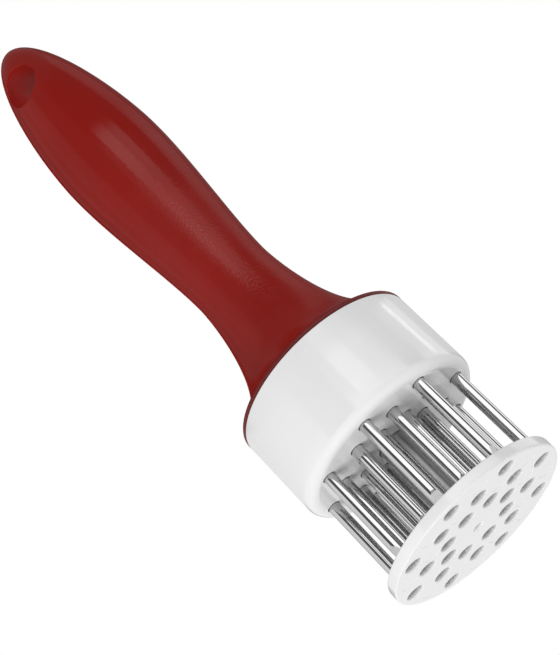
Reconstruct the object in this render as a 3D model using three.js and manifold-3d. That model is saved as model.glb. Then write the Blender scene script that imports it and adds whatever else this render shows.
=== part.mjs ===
// Blade meat tenderizer: a pressing handle on a round head of steel pins, with a sprung guard disc.
// It stands upright on the guard disc, whose lower face is z = 0, with +Z towards the handle.
// All lengths are in millimetres and all angles in degrees.

import * as THREE from 'three';
import { mergeVertices } from 'three/addons/utils/BufferGeometryUtils.js';
import Module from 'manifold-3d';

const wasm = await Module();
wasm.setup();

// Clearances
const seatGap = 0.1;
const fitGap = 0.3;
const slideClearance = 0.15;
const boreClearance = 0.5;
const cutOverrun = 1;

// Plunger tube, its plastic core and the stop on its top
const tubeRadius = 4.65;
const tubeWall = 0.85;
const coreClearance = 0.2;
const spigotHeight = 10;
const spigotChamfer = 0.6;
const grooveDepth = 1.5;
const washerThickness = 1.4;
const stopScrewRadius = 1.7;
const stopScrewLength = 11;
const stopScrewHeadWidth = 1.7;
const stopScrewHeadHeight = 2.2;

// Return spring
const springRadius = 6.1;
const wireDiameter = 1.2;
const springTurns = 14;
const closedTurns = 1;
const closedTurnGap = 0.9;
const washerMargin = 0.6;

// Pins and their ring pattern
const pinsPerRing = 8;
const patternTurn = 17.35;
const pinRadius = 1.65;
const pinHoleClearance = 0.2;
const pinHeadWidth = 0.75;
const pinHeadThickness = 1.5;
const pinTipRecess = 1.6;
const pinEdgeThickness = 0.3;
const longBevelLength = 5.2;
const shortBevelLength = 4.6;
const shoulderDepth = 0.25;
const shoulderLength = 0.6;
const bladeTurn = 110;
const innerRingMargin = 0.45;
const middleRingStep = 6.05;
const outerRingStep = 5.8;

// Head housing, its floor and the plate that traps the pin heads
const standoff = 27;
const floorThickness = 4;
const housingHeight = 25.4;
const housingWall = 2;
const headMargin = 0.45;
const lipRound = 2.8;
const rimRound = 0.4;
const bushSkin = 1.2;
const backingThickness = 3;
const bossMargin = 0.6;
const plateScrewCount = 4;
const plateScrewRadius = 1.2;
const plateScrewBite = 4.2;
const plateScrewHeadWidth = 1.4;
const plateScrewHeadHeight = 1.8;
const recessWidth = 0.7;
const recessDepth = 1;

// Guide bush
const bushWall = 1.1;
const bushFlangeWidth = 1.4;
const bushStand = 3;

// Guard disc
const guardInset = 0.7;
const guardThickness = 3.25;
const guardLowerRound = 0.5;
const guardUpperRound = 0.4;
const guardHoleClearance = 0.75;
const gateDimpleRadius = 1.6;
const gateDimpleDepth = 0.8;
const collarHeight = 1.2;
const collarWidth = 1.1;
const collarFlare = 0.9;

// Handle: flange, flare, neck, grip and rounded end
const flangeOverhang = 0.05;
const flangeThickness = 1.2;
const flangeLedge = 0.5;
const flareInward = 12.4;
const flareLift = 3.95;
const neckRadius = 11.81;
const neckHeight = 37.7;
const neckPull = 5;
const neckEase = 13.44;
const gripRadius = 15.55;
const gripRise = 53.6;
const gripEase = 17.2;
const gripPull = 18.8;
const endRise = 53.3;
const endEase = 10.1;
const handleWall = 3;
const sleeveWall = 1.6;
const hollowMouth = 0.8;
const plugLength = 11;
const plugWall = 2.2;
const plugChamfer = 0.6;
const beadDrop = 6.5;
const beadHeight = 1.6;
const beadProud = 0.7;
const springSeatRise = 10;
const coreHoleRadius = 5;
const coreHoleRise = 18;
const coreHoleTaper = 1;
const hangHoleDrop = 18.4;
const hangHoleHalfWidth = 6;
const hangHoleHalfHeight = 6.9;

// Fineness of the round shapes, in counts
const handleSegments = 32;
const headSegments = 36;
const smallSegments = 20;
const pinSegments = 12;
const holeSegments = 12;
const curvePoints = 9;
const hollowPoints = 4;
const roundPoints = 3;
const springSteps = 8;
const springSides = 5;
const halvings = 40;

// Radii, from the plunger tube outwards
const tubeInnerRadius = tubeRadius - tubeWall;
const coreRadius = tubeInnerRadius - coreClearance;
const bushBoreRadius = tubeRadius + slideClearance;
const bushRadius = bushBoreRadius + bushWall;
const bushFlangeRadius = bushRadius + bushFlangeWidth;
const pinHeadRadius = pinRadius + pinHeadWidth;
const pinHoleRadius = pinRadius + pinHoleClearance;
const innerRingRadius = bushFlangeRadius + innerRingMargin + pinHeadRadius;
const middleRingRadius = innerRingRadius + middleRingStep;
const outerRingRadius = middleRingRadius + outerRingStep;
const housingInnerRadius = outerRingRadius + pinHeadRadius + headMargin;
const housingRadius = housingInnerRadius + housingWall;
const guardRadius = housingRadius - guardInset;
const guardHoleRadius = pinRadius + guardHoleClearance;
const bossRingRadius = (innerRingRadius + outerRingRadius) / 2;
const bossRadius = (outerRingRadius - innerRingRadius) / 2 - pinHeadRadius - bossMargin;
const backingRadius = housingInnerRadius - fitGap;
const wireRadius = wireDiameter / 2;
const washerRadius = springRadius + wireRadius + washerMargin;
const boreRadius = washerRadius + boreClearance;
const sleeveRadius = boreRadius + sleeveWall;
const plugRadius = housingInnerRadius - fitGap;
const beadRadius = plugRadius + beadProud;
const flangeRadius = housingRadius + flangeOverhang;
const flareRootRadius = flangeRadius - flangeLedge;

// Levels, from the guard's lower face upwards
const tubeLevel = guardThickness - grooveDepth + seatGap;
const spigotTopLevel = guardThickness + spigotHeight;
const pinFaceLevel = guardThickness + standoff;
const floorTopLevel = pinFaceLevel + floorThickness;
const headSeatLevel = floorTopLevel + seatGap;
const backingLevel = headSeatLevel + pinHeadThickness + seatGap;
const backingTopLevel = backingLevel + backingThickness;
const bushTopLevel = backingTopLevel + bushStand;
const washerLevel = bushTopLevel + seatGap;
const springLevel = washerLevel + washerThickness + seatGap;
const housingTopLevel = pinFaceLevel + housingHeight;
const flangeLevel = housingTopLevel + seatGap;
const flangeTopLevel = flangeLevel + flangeThickness;
const neckLevel = flangeTopLevel + neckHeight;
const gripLevel = neckLevel + gripRise;
const endLevel = gripLevel + endRise;
const springSeatLevel = neckLevel + springSeatRise;
const springLength = springSeatLevel - seatGap - springLevel;
const plugLevel = flangeLevel - plugLength;
const beadLevel = flangeLevel - beadDrop;
const coreHoleTopLevel = gripLevel + coreHoleRise;
const hangHoleLevel = endLevel - hangHoleDrop;

// A closed geometry as a solid that can be joined and cut.
function solidOf(geometry) {
  const plain = geometry.clone();
  plain.deleteAttribute('normal');
  plain.deleteAttribute('uv');
  const merged = mergeVertices(plain);
  const corners = Array.from(merged.index.array);
  const kept = [];
  for (let i = 0; i < corners.length; i += 3) {
    const [a, b, c] = corners.slice(i, i + 3);
    if (a !== b && b !== c && c !== a) kept.push(a, b, c);
  }
  const vertProperties = new Float32Array(merged.attributes.position.array);
  const triVerts = new Uint32Array(kept);
  return new wasm.Manifold(new wasm.Mesh({ numProp: 3, vertProperties, triVerts }));
}

function geometryOf(solid) {
  const mesh = solid.getMesh();
  const geometry = new THREE.BufferGeometry();
  geometry.setAttribute('position', new THREE.BufferAttribute(mesh.vertProperties, 3));
  geometry.setIndex(new THREE.BufferAttribute(mesh.triVerts, 1));
  return geometry;
}

// An outline of [radius, height] points turned about Z. It runs from the inside bottom outwards and up.
function turned(outline, segments) {
  const points = outline.map(([radius, height]) => new THREE.Vector2(radius, height));
  return solidOf(new THREE.LatheGeometry(points, segments).rotateX(Math.PI / 2));
}

function closedOutline(outline) {
  return [...outline, outline[0]];
}

// Points of a quarter round about [radius, height], without its first point.
function quarterRound(radius, height, size, startAngle) {
  const points = [];
  for (let i = 1; i <= roundPoints; i++) {
    const angle = THREE.MathUtils.degToRad(startAngle + (90 * i) / roundPoints);
    points.push([radius + size * Math.cos(angle), height + size * Math.sin(angle)]);
  }
  return points;
}

function rod(radius, bottom, top, segments = holeSegments) {
  const height = top - bottom;
  const geometry = new THREE.CylinderGeometry(radius, radius, height, segments);
  return solidOf(geometry.rotateX(Math.PI / 2).translate(0, 0, bottom + height / 2));
}

function ringPlaces(count, radius, startAngle) {
  const places = [];
  for (let i = 0; i < count; i++) {
    const angle = THREE.MathUtils.degToRad(startAngle + (360 * i) / count);
    places.push([radius * Math.cos(angle), radius * Math.sin(angle)]);
  }
  return places;
}

const halfStep = 180 / pinsPerRing;
const rings = [
  { name: 'inner', radius: innerRingRadius, start: patternTurn },
  { name: 'middle', radius: middleRingRadius, start: patternTurn + halfStep },
  { name: 'outer', radius: outerRingRadius, start: patternTurn },
];
const bossPlaces = ringPlaces(plateScrewCount, bossRingRadius, patternTurn);

function withPinHoles(solid, radius, bottom, top) {
  let cut = solid;
  for (const ring of rings) {
    for (const [x, y] of ringPlaces(pinsPerRing, ring.radius, ring.start)) {
      cut = cut.subtract(rod(radius, bottom, top).translate([x, y, 0]));
    }
  }
  return cut;
}

// The handle's outer outline, as three curves that share their end points.
const flareCurve = new THREE.CubicBezierCurve(
  new THREE.Vector2(flareRootRadius, flangeTopLevel),
  new THREE.Vector2(flareRootRadius - flareInward, flangeTopLevel + flareLift),
  new THREE.Vector2(neckRadius, neckLevel - neckPull),
  new THREE.Vector2(neckRadius, neckLevel),
);
const gripCurve = new THREE.CubicBezierCurve(
  new THREE.Vector2(neckRadius, neckLevel),
  new THREE.Vector2(neckRadius, neckLevel + neckEase),
  new THREE.Vector2(gripRadius, gripLevel - gripEase),
  new THREE.Vector2(gripRadius, gripLevel),
);
const endCurve = new THREE.CubicBezierCurve(
  new THREE.Vector2(gripRadius, gripLevel),
  new THREE.Vector2(gripRadius, gripLevel + gripPull),
  new THREE.Vector2(endEase, endLevel),
  new THREE.Vector2(0, endLevel),
);

// The point one wall thickness inside the flare, at a share of the way along it.
function insideFlare(share) {
  const point = flareCurve.getPoint(share);
  const along = flareCurve.getTangent(share);
  return [point.x - handleWall * along.y, point.y + handleWall * along.x];
}

// The share of the flare at which the inside of its wall has a given radius.
function flareShareAt(radius) {
  let low = 0;
  let high = 1;
  for (let i = 0; i < halvings; i++) {
    const middle = (low + high) / 2;
    if (insideFlare(middle)[0] > radius) low = middle;
    else high = middle;
  }
  return low;
}

// The hollow between the flare and the spring sleeve, from its wide lower end to its narrow top.
function hollowOutline() {
  const wideShare = flareShareAt(plugRadius - plugWall);
  const narrowShare = flareShareAt(sleeveRadius + hollowMouth);
  const points = [];
  for (let i = 0; i <= hollowPoints; i++) {
    points.push(insideFlare(wideShare + ((narrowShare - wideShare) * i) / hollowPoints));
  }
  return points;
}

function pointsOf(curve) {
  return curve.getPoints(curvePoints).map((point) => [point.x, point.y]);
}

function hangHole() {
  const oval = new THREE.Shape();
  oval.absellipse(0, 0, hangHoleHalfWidth, hangHoleHalfHeight, 0, Math.PI * 2);
  const length = 2 * (gripRadius + cutOverrun);
  const options = { depth: length, bevelEnabled: false, curveSegments: holeSegments };
  const geometry = new THREE.ExtrudeGeometry(oval, options);
  return solidOf(geometry.translate(0, 0, -length / 2).rotateX(Math.PI / 2).translate(0, 0, hangHoleLevel));
}

// One moulding: plug, flange, flare, grip, an inner sleeve for the spring and a long core hole.
function handleSolid() {
  const plugInnerRadius = plugRadius - plugWall;
  const hollow = hollowOutline();
  const hollowTop = hollow[hollow.length - 1][1];
  const outline = [
    [0, coreHoleTopLevel],
    [coreHoleRadius - coreHoleTaper, coreHoleTopLevel],
    [coreHoleRadius, springSeatLevel],
    [boreRadius, springSeatLevel],
    [boreRadius, backingTopLevel + fitGap],
    [sleeveRadius, backingTopLevel + fitGap],
    [sleeveRadius, hollowTop],
    ...hollow.reverse(),
    [plugInnerRadius, plugLevel],
    [plugRadius - plugChamfer, plugLevel],
    [plugRadius, plugLevel + plugChamfer],
    [plugRadius, beadLevel - beadHeight / 2],
    [beadRadius, beadLevel - beadHeight / 4],
    [beadRadius, beadLevel + beadHeight / 4],
    [plugRadius, beadLevel + beadHeight / 2],
    [plugRadius, flangeLevel],
    [flangeRadius, flangeLevel],
    [flangeRadius, flangeTopLevel - flangeLedge / 2],
    [flangeRadius - flangeLedge / 2, flangeTopLevel],
    ...pointsOf(flareCurve),
    ...pointsOf(gripCurve).slice(1),
    ...pointsOf(endCurve).slice(1),
  ];
  return turned(outline, handleSegments).subtract(hangHole());
}

// White cup with a thick floor: pin holes, a seat for the bush, screw bosses and a snap groove.
function housingSolid() {
  const bushSeatRadius = bushRadius + coreClearance;
  const floorHoleRadius = tubeRadius + fitGap;
  const grooveRadius = beadRadius + fitGap;
  const grooveHalf = beadHeight / 2 + fitGap;
  const outline = closedOutline([
    [floorHoleRadius, pinFaceLevel],
    [housingRadius - lipRound, pinFaceLevel],
    ...quarterRound(housingRadius - lipRound, pinFaceLevel + lipRound, lipRound, -90),
    [housingRadius, housingTopLevel - rimRound],
    [housingRadius - rimRound, housingTopLevel],
    [housingInnerRadius, housingTopLevel],
    [housingInnerRadius, beadLevel + grooveHalf],
    [grooveRadius, beadLevel + beadHeight / 4],
    [grooveRadius, beadLevel - beadHeight / 4],
    [housingInnerRadius, beadLevel - grooveHalf],
    [housingInnerRadius, floorTopLevel],
    [bushSeatRadius, floorTopLevel],
    [bushSeatRadius, pinFaceLevel + bushSkin],
    [floorHoleRadius, pinFaceLevel + bushSkin],
  ]);
  let solid = turned(outline, headSegments);
  const bossTop = backingLevel - seatGap;
  const pilotRadius = plateScrewRadius + slideClearance;
  const pilotBottom = backingLevel - plateScrewBite - seatGap;
  for (const [x, y] of bossPlaces) {
    solid = solid.add(rod(bossRadius, floorTopLevel - seatGap, bossTop).translate([x, y, 0]));
    solid = solid.subtract(rod(pilotRadius, pilotBottom, bossTop + cutOverrun).translate([x, y, 0]));
  }
  return withPinHoles(solid, pinHoleRadius, pinFaceLevel - cutOverrun, floorTopLevel + cutOverrun);
}

// Disc that presses the pin heads onto the housing's floor.
function backingPlateSolid() {
  const holeRadius = bushRadius + coreClearance;
  const outline = closedOutline([
    [holeRadius, backingLevel],
    [backingRadius, backingLevel],
    [backingRadius, backingTopLevel],
    [holeRadius, backingTopLevel],
  ]);
  let solid = turned(outline, headSegments);
  for (const [x, y] of bossPlaces) {
    const hole = rod(plateScrewRadius + fitGap, backingLevel - cutOverrun, backingTopLevel + cutOverrun);
    solid = solid.subtract(hole.translate([x, y, 0]));
  }
  return solid;
}

// Flanged bush that the plunger tube slides in, trapped between the floor and the backing plate.
function guideBushSolid() {
  const flangeBottom = floorTopLevel + seatGap;
  const flangeTop = backingLevel - seatGap;
  return turned(closedOutline([
    [bushBoreRadius, pinFaceLevel + bushSkin + seatGap],
    [bushRadius, pinFaceLevel + bushSkin + seatGap],
    [bushRadius, flangeBottom],
    [bushFlangeRadius, flangeBottom],
    [bushFlangeRadius, flangeTop],
    [bushRadius, flangeTop],
    [bushRadius, bushTopLevel],
    [bushBoreRadius, bushTopLevel],
  ]), smallSegments);
}

// A prism whose outline lies in the Y-Z plane and that runs along X, for grinding a pin.
function grinding(corners) {
  const shape = new THREE.Shape(corners.map(([y, z]) => new THREE.Vector2(y, z)));
  const width = 2 * (pinRadius + cutOverrun);
  const geometry = new THREE.ExtrudeGeometry(shape, { depth: width, bevelEnabled: false });
  geometry.translate(0, 0, -width / 2).rotateX(Math.PI / 2).rotateZ(Math.PI / 2);
  return solidOf(geometry);
}

// Headed steel pin with its tip at z = 0: a long bevel on +Y, a short one with a shoulder on -Y.
function pinSolid() {
  const headLevel = headSeatLevel - pinTipRecess;
  const outer = pinRadius + cutOverrun;
  const edge = pinEdgeThickness / 2;
  const shaft = turned([
    [0, 0],
    [pinRadius, 0],
    [pinRadius, headLevel],
    [pinHeadRadius, headLevel],
    [pinHeadRadius, headLevel + pinHeadThickness],
    [0, headLevel + pinHeadThickness],
  ], pinSegments);
  const longBevel = grinding([
    [edge, 0],
    [edge, -cutOverrun],
    [outer, -cutOverrun],
    [outer, longBevelLength],
    [pinRadius, longBevelLength],
  ]);
  const shoulderY = pinRadius - shoulderDepth;
  const shortBevel = grinding([
    [-edge, 0],
    [-shoulderY, shortBevelLength],
    [-pinRadius, shortBevelLength + shoulderLength],
    [-outer, shortBevelLength + shoulderLength],
    [-outer, -cutOverrun],
    [-edge, -cutOverrun],
  ]);
  return shaft.subtract(longBevel).subtract(shortBevel);
}

// Pan-head screw with its head's seat at z = 0, its shank below and a cross recess on top.
function screwSolid(shankRadius, shankLength, headWidth, headHeight) {
  const headRadius = shankRadius + headWidth;
  const body = turned([
    [0, -shankLength],
    [shankRadius / 2, -shankLength],
    [shankRadius, shankRadius - shankLength],
    [shankRadius, 0],
    [headRadius, 0],
    [headRadius, headHeight / 2],
    [headRadius * Math.SQRT1_2, headHeight],
    [0, headHeight],
  ], pinSegments);
  const slotHeight = recessDepth + cutOverrun;
  const slotLevel = headHeight - recessDepth + slotHeight / 2;
  const slot = new THREE.BoxGeometry(headRadius, recessWidth, slotHeight).translate(0, 0, slotLevel);
  const crossSlot = slot.clone().rotateZ(Math.PI / 2);
  return body.subtract(solidOf(slot).add(solidOf(crossSlot)));
}

// White disc with a rounded edge, the pins' clearance holes, and a collar and spigot for the tube.
function guardDiscSolid() {
  const spigotRadius = coreRadius;
  const tubeSeatRadius = tubeRadius + coreClearance;
  const collarRadius = tubeSeatRadius + collarWidth;
  const outline = [
    [0, gateDimpleDepth],
    [gateDimpleRadius / 2, gateDimpleDepth],
    [gateDimpleRadius, 0],
    [guardRadius - guardLowerRound, 0],
    ...quarterRound(guardRadius - guardLowerRound, guardLowerRound, guardLowerRound, -90),
    [guardRadius, guardThickness - guardUpperRound],
    [guardRadius - guardUpperRound, guardThickness],
    [collarRadius + collarFlare, guardThickness],
    [collarRadius, guardThickness + collarHeight / 2],
    [collarRadius - collarFlare / 2, guardThickness + collarHeight],
    [tubeSeatRadius, guardThickness + collarHeight],
    [tubeSeatRadius, guardThickness - grooveDepth],
    [spigotRadius, guardThickness - grooveDepth],
    [spigotRadius, spigotTopLevel - spigotChamfer],
    [spigotRadius - spigotChamfer, spigotTopLevel],
    [0, spigotTopLevel],
  ];
  const blank = turned(outline, headSegments);
  return withPinHoles(blank, guardHoleRadius, -cutOverrun, guardThickness + cutOverrun);
}

function plungerTubeSolid() {
  return turned(closedOutline([
    [tubeInnerRadius, tubeLevel],
    [tubeRadius, tubeLevel],
    [tubeRadius, bushTopLevel],
    [tubeInnerRadius, bushTopLevel],
  ]), smallSegments);
}

// Plastic core that fills the tube above the guard's spigot and takes the stop screw.
function plungerCoreSolid() {
  const pilotRadius = stopScrewRadius + slideClearance;
  const pilotBottom = bushTopLevel - stopScrewLength;
  return turned([
    [0, spigotTopLevel + fitGap],
    [coreRadius, spigotTopLevel + fitGap],
    [coreRadius, bushTopLevel],
    [pilotRadius, bushTopLevel],
    [pilotRadius, pilotBottom],
    [0, pilotBottom - pilotRadius],
  ], smallSegments);
}

function stopWasherSolid() {
  const holeRadius = stopScrewRadius + fitGap;
  return turned(closedOutline([
    [holeRadius, washerLevel],
    [washerRadius, washerLevel],
    [washerRadius, washerLevel + washerThickness],
    [holeRadius, washerLevel + washerThickness],
  ]), smallSegments);
}

// Height of the wire's centre above the spring's foot after a number of turns.
const closedPitch = wireDiameter + closedTurnGap;
const openPitch = (springLength - wireDiameter - 2 * closedTurns * closedPitch) / springTurns;
function wireHeight(turns) {
  const lower = Math.min(turns, closedTurns);
  const open = Math.min(Math.max(turns - closedTurns, 0), springTurns);
  const upper = Math.max(turns - closedTurns - springTurns, 0);
  return wireRadius + (lower + upper) * closedPitch + open * openPitch;
}

// Compression spring: one unbroken wire with a closed turn at each end, its foot at z = 0.
function springGeometry() {
  const steps = Math.round((springTurns + 2 * closedTurns) * springSteps);
  const centres = [];
  const positions = [];
  const corners = [];
  for (let i = 0; i <= steps; i++) {
    const turns = i / springSteps;
    const angle = turns * Math.PI * 2;
    const radial = new THREE.Vector3(Math.cos(angle), Math.sin(angle), 0);
    const centre = radial.clone().multiplyScalar(springRadius).setZ(wireHeight(turns));
    centres.push(centre);
    for (let k = 0; k < springSides; k++) {
      const around = (k / springSides) * Math.PI * 2;
      const point = centre.clone().addScaledVector(radial, wireRadius * Math.cos(around));
      positions.push(point.x, point.y, point.z + wireRadius * Math.sin(around));
    }
  }
  for (let i = 0; i < steps; i++) {
    for (let k = 0; k < springSides; k++) {
      const a = i * springSides + k;
      const b = i * springSides + ((k + 1) % springSides);
      corners.push(a, a + springSides, b, b, a + springSides, b + springSides);
    }
  }
  for (let k = 1; k < springSides - 1; k++) {
    const last = steps * springSides;
    corners.push(0, k, k + 1, last, last + k + 1, last + k);
  }
  const geometry = new THREE.BufferGeometry();
  geometry.setAttribute('position', new THREE.Float32BufferAttribute(positions, 3));
  geometry.setIndex(corners);
  console.log(`least gap between the spring's turns: ${leastTurnGap(centres).toFixed(2)} mm`);
  return geometry;
}

function leastTurnGap(centres) {
  let least = Infinity;
  for (let i = 0; i < centres.length; i++) {
    for (let j = i + springSteps / 2; j < centres.length; j++) {
      least = Math.min(least, centres[i].distanceTo(centres[j]) - wireDiameter);
    }
  }
  return least;
}

const finishes = {
  redPlastic: { color: 0x8a2420, roughness: 0.45, metalness: 0 },
  whitePlastic: { color: 0xeeeeee, roughness: 0.25, metalness: 0 },
  greyPlastic: { color: 0x9a9c9e, roughness: 0.5, metalness: 0 },
  polishedSteel: { color: 0xc9c9cc, roughness: 0.15, metalness: 1 },
  satinSteel: { color: 0xb4b5b8, roughness: 0.35, metalness: 1 },
};

function piece(name, geometry, finish) {
  const mesh = new THREE.Mesh(geometry, new THREE.MeshStandardMaterial(finishes[finish]));
  mesh.name = name;
  return mesh;
}

const tenderizer = new THREE.Group();
const head = new THREE.Group();
const guard = new THREE.Group();
tenderizer.add(head, guard);

head.add(piece('handle', geometryOf(handleSolid()), 'redPlastic'));
head.add(piece('housing', geometryOf(housingSolid()), 'whitePlastic'));
head.add(piece('backing_plate', geometryOf(backingPlateSolid()), 'greyPlastic'));
head.add(piece('guide_bush', geometryOf(guideBushSolid()), 'greyPlastic'));

const pinGeometry = geometryOf(pinSolid());
for (const ring of rings) {
  ringPlaces(pinsPerRing, ring.radius, ring.start).forEach(([x, y], i) => {
    const pin = piece(`pin_${ring.name}_${i + 1}`, pinGeometry, 'polishedSteel');
    pin.position.set(x, y, pinTipRecess);
    pin.rotation.z = Math.atan2(y, x) + THREE.MathUtils.degToRad(bladeTurn);
    head.add(pin);
  });
}

const plateScrewLength = backingThickness + plateScrewBite;
const plateScrew = screwSolid(plateScrewRadius, plateScrewLength, plateScrewHeadWidth, plateScrewHeadHeight);
const plateScrewGeometry = geometryOf(plateScrew);
bossPlaces.forEach(([x, y], i) => {
  const screw = piece(`plate_screw_${i + 1}`, plateScrewGeometry, 'satinSteel');
  screw.position.set(x, y, backingTopLevel + seatGap);
  head.add(screw);
});

guard.add(piece('guard_disc', geometryOf(guardDiscSolid()), 'whitePlastic'));
guard.add(piece('plunger_tube', geometryOf(plungerTubeSolid()), 'satinSteel'));
guard.add(piece('plunger_core', geometryOf(plungerCoreSolid()), 'greyPlastic'));
guard.add(piece('stop_washer', geometryOf(stopWasherSolid()), 'satinSteel'));

const stopScrewSolid = screwSolid(
  stopScrewRadius, stopScrewLength, stopScrewHeadWidth, stopScrewHeadHeight,
);
const stopScrew = piece('stop_screw', geometryOf(stopScrewSolid), 'satinSteel');
stopScrew.position.z = washerLevel + washerThickness + seatGap;
guard.add(stopScrew);

const spring = piece('return_spring', springGeometry(), 'satinSteel');
spring.position.z = springLevel;
guard.add(spring);

export default tenderizer;
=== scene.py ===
"""A blade meat tenderizer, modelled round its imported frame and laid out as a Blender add-on.

Lengths are metres and angles radians, in the frame's axes: +Z runs up the tool to the end of its handle.
"""

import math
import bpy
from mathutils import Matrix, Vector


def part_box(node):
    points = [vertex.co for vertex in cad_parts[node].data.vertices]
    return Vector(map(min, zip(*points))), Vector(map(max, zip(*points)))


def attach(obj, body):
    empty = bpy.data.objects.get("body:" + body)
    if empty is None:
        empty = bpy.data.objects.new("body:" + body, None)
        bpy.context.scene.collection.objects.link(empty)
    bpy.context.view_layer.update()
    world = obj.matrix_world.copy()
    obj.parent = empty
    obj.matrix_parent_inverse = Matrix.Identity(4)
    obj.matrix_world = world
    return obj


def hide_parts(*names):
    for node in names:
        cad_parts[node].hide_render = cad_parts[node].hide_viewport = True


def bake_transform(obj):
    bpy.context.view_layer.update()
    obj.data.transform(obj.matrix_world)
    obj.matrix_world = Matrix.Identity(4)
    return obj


bl_info = {
    "name": "Blade Meat Tenderizer",
    "version": (1, 0, 0),
    "blender": (4, 5, 0),
    "location": "View3D > Sidebar > Tenderizer",
    "description": "Models a hand tenderizer with a sprung guard disc round its frame",
    "category": "Object",
}

from bisect import bisect_left

import bmesh
import bpy
from bpy.props import FloatProperty, FloatVectorProperty, IntProperty, PointerProperty
from mathutils import Matrix, Vector
from mathutils.geometry import interpolate_bezier

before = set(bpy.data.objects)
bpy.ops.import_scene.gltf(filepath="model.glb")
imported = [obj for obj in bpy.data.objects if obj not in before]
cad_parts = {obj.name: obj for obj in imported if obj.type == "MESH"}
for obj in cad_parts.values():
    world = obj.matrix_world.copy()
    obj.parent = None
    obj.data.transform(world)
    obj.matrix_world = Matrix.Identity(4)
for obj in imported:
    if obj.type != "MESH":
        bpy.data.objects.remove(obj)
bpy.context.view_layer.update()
MM = 0.001
TAU = math.tau
# How near to each other points are merged after a spin or a cut
MERGE = 1e-7
# How near points count as on a level, or as one where two halves meet
CAPTURE = 1e-6
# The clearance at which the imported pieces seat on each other
SEAT_GAP = 0.1 * MM
# The margin that is left where faces are told apart by their places
HAIR = 0.05 * MM
CRISP_ANGLE = math.radians(32)
ORIGIN = (0.0, 0.0, 0.0)
UP = (0.0, 0.0, 1.0)
DOWN = (0.0, 0.0, -1.0)
RINGS = ("inner", "middle", "outer")
PINS_PER_RING = 8

handle_low, handle_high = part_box("handle")
housing_low, housing_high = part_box("housing")
guard_low, guard_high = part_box("guard_disc")
tube_low, tube_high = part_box("plunger_tube")
spring_low, spring_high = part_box("return_spring")


def centre_of(node):
    """The centre of a node's box."""
    low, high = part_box(node)
    return (low + high) / 2


def ring_of_pins(ring):
    """The nodes of one ring of pins, in their order round it."""
    return [f"pin_{ring}_{i + 1}" for i in range(PINS_PER_RING)]


ALL_PINS = [node for ring in RINGS for node in ring_of_pins(ring)]


def length(name, description, value):
    return FloatProperty(name=name, description=description, default=value * MM, min=0.0,
                         subtype="DISTANCE", unit="LENGTH", precision=5)


def share(name, description, value):
    return FloatProperty(name=name, description=description, default=value, min=0.0, max=1.0,
                         subtype="FACTOR")


def colour(name, description, value):
    return FloatVectorProperty(name=name, description=description, default=value, size=3,
                               min=0.0, max=1.0, subtype="COLOR")


def whole(name, description, value):
    return IntProperty(name=name, description=description, default=value, min=3)


def brightness(name, description, value):
    return FloatProperty(name=name, description=description, default=value, min=0.0)


class HandleSettings(bpy.types.PropertyGroup):
    flange_thickness: length("Flange thickness", "Height of the rim above the head", 1.2)
    flange_round: length("Flange round", "Radius of the rim's edges", 0.55)
    flare_ledge: length("Flare ledge", "Step from the rim in to the flare", 0.5)
    flare_inward: length("Flare inward", "How far the flare's lower curve pulls in", 12.4)
    flare_lift: length("Flare lift", "How far the flare's lower curve pulls up", 3.95)
    neck_radius: length("Neck radius", "Thinnest radius of the handle", 11.81)
    neck_height: length("Neck height", "Neck above the rim", 37.7)
    neck_pull: length("Neck pull", "How long the neck runs straight below", 5.0)
    neck_ease: length("Neck ease", "How long the neck runs straight above", 13.44)
    grip_radius: length("Grip radius", "Widest radius of the grip", 15.55)
    grip_rise: length("Grip rise", "Widest place above the neck", 53.6)
    grip_ease: length("Grip ease", "How long the grip runs straight below", 17.2)
    grip_pull: length("Grip pull", "How long the grip runs straight above", 18.8)
    end_ease: length("End ease", "How flat the rounded end is", 10.1)
    wall: length("Wall", "Thickness of the flare's wall", 3.0)
    bore_radius: length("Bore radius", "Inside of the spring's sleeve", 7.8)
    sleeve_radius: length("Sleeve radius", "Outside of the spring's sleeve", 9.4)
    sleeve_gap: length("Sleeve gap", "Least gap between the sleeve and the flare's wall", 0.8)
    plug_radius: length("Plug radius", "Part of the handle that clips into the head", 24.55)
    plug_wall: length("Plug wall", "Wall of that part", 2.2)
    plug_depth: length("Plug depth", "How far it reaches into the head", 11.0)
    plug_chamfer: length("Plug chamfer", "Chamfer on its lower edge", 0.6)
    bead: length("Bead", "How far the clip's bead stands out", 0.7)
    bead_drop: length("Bead drop", "The bead below the rim", 6.5)
    bead_crest: length("Bead crest", "Half the height of the bead's crest", 0.4)
    bead_foot: length("Bead foot", "Half the height of the bead's foot", 0.8)
    core_radius: length("Core hole radius", "Blind hole above the spring", 5.0)
    core_rise: length("Core hole rise", "Its end above the widest place", 18.0)
    core_taper: length("Core hole taper", "How much narrower its end is", 1.0)
    hole_drop: length("Hole drop", "Hanging hole below the end", 18.4)
    hole_half_width: length("Hole half width", "Half the hanging hole's width", 6.0)
    hole_half_height: length("Hole half height", "Half the hanging hole's height", 6.9)
    hole_lip: length("Hole lip", "Round on the hanging hole's mouths", 0.5)
    steps: whole("Steps", "Faces round the handle", 96)
    red: colour("Red", "Colour of the handle", (0.276, 0.0094, 0.0058))
    roughness: share("Roughness", "How satin the handle is", 0.17)
    gloss_height: length("Gloss height", "Height above which the handle is at its glossiest", 150.0)
    dull_height: length("Dull height", "Height below which it is at its dullest", 115.0)
    # Below this height the matt red is darkened most, as painted shade on the rim
    painted_shade_height: length("Rim height", "Height below which the matt red is at its darkest", 100.0)


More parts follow.
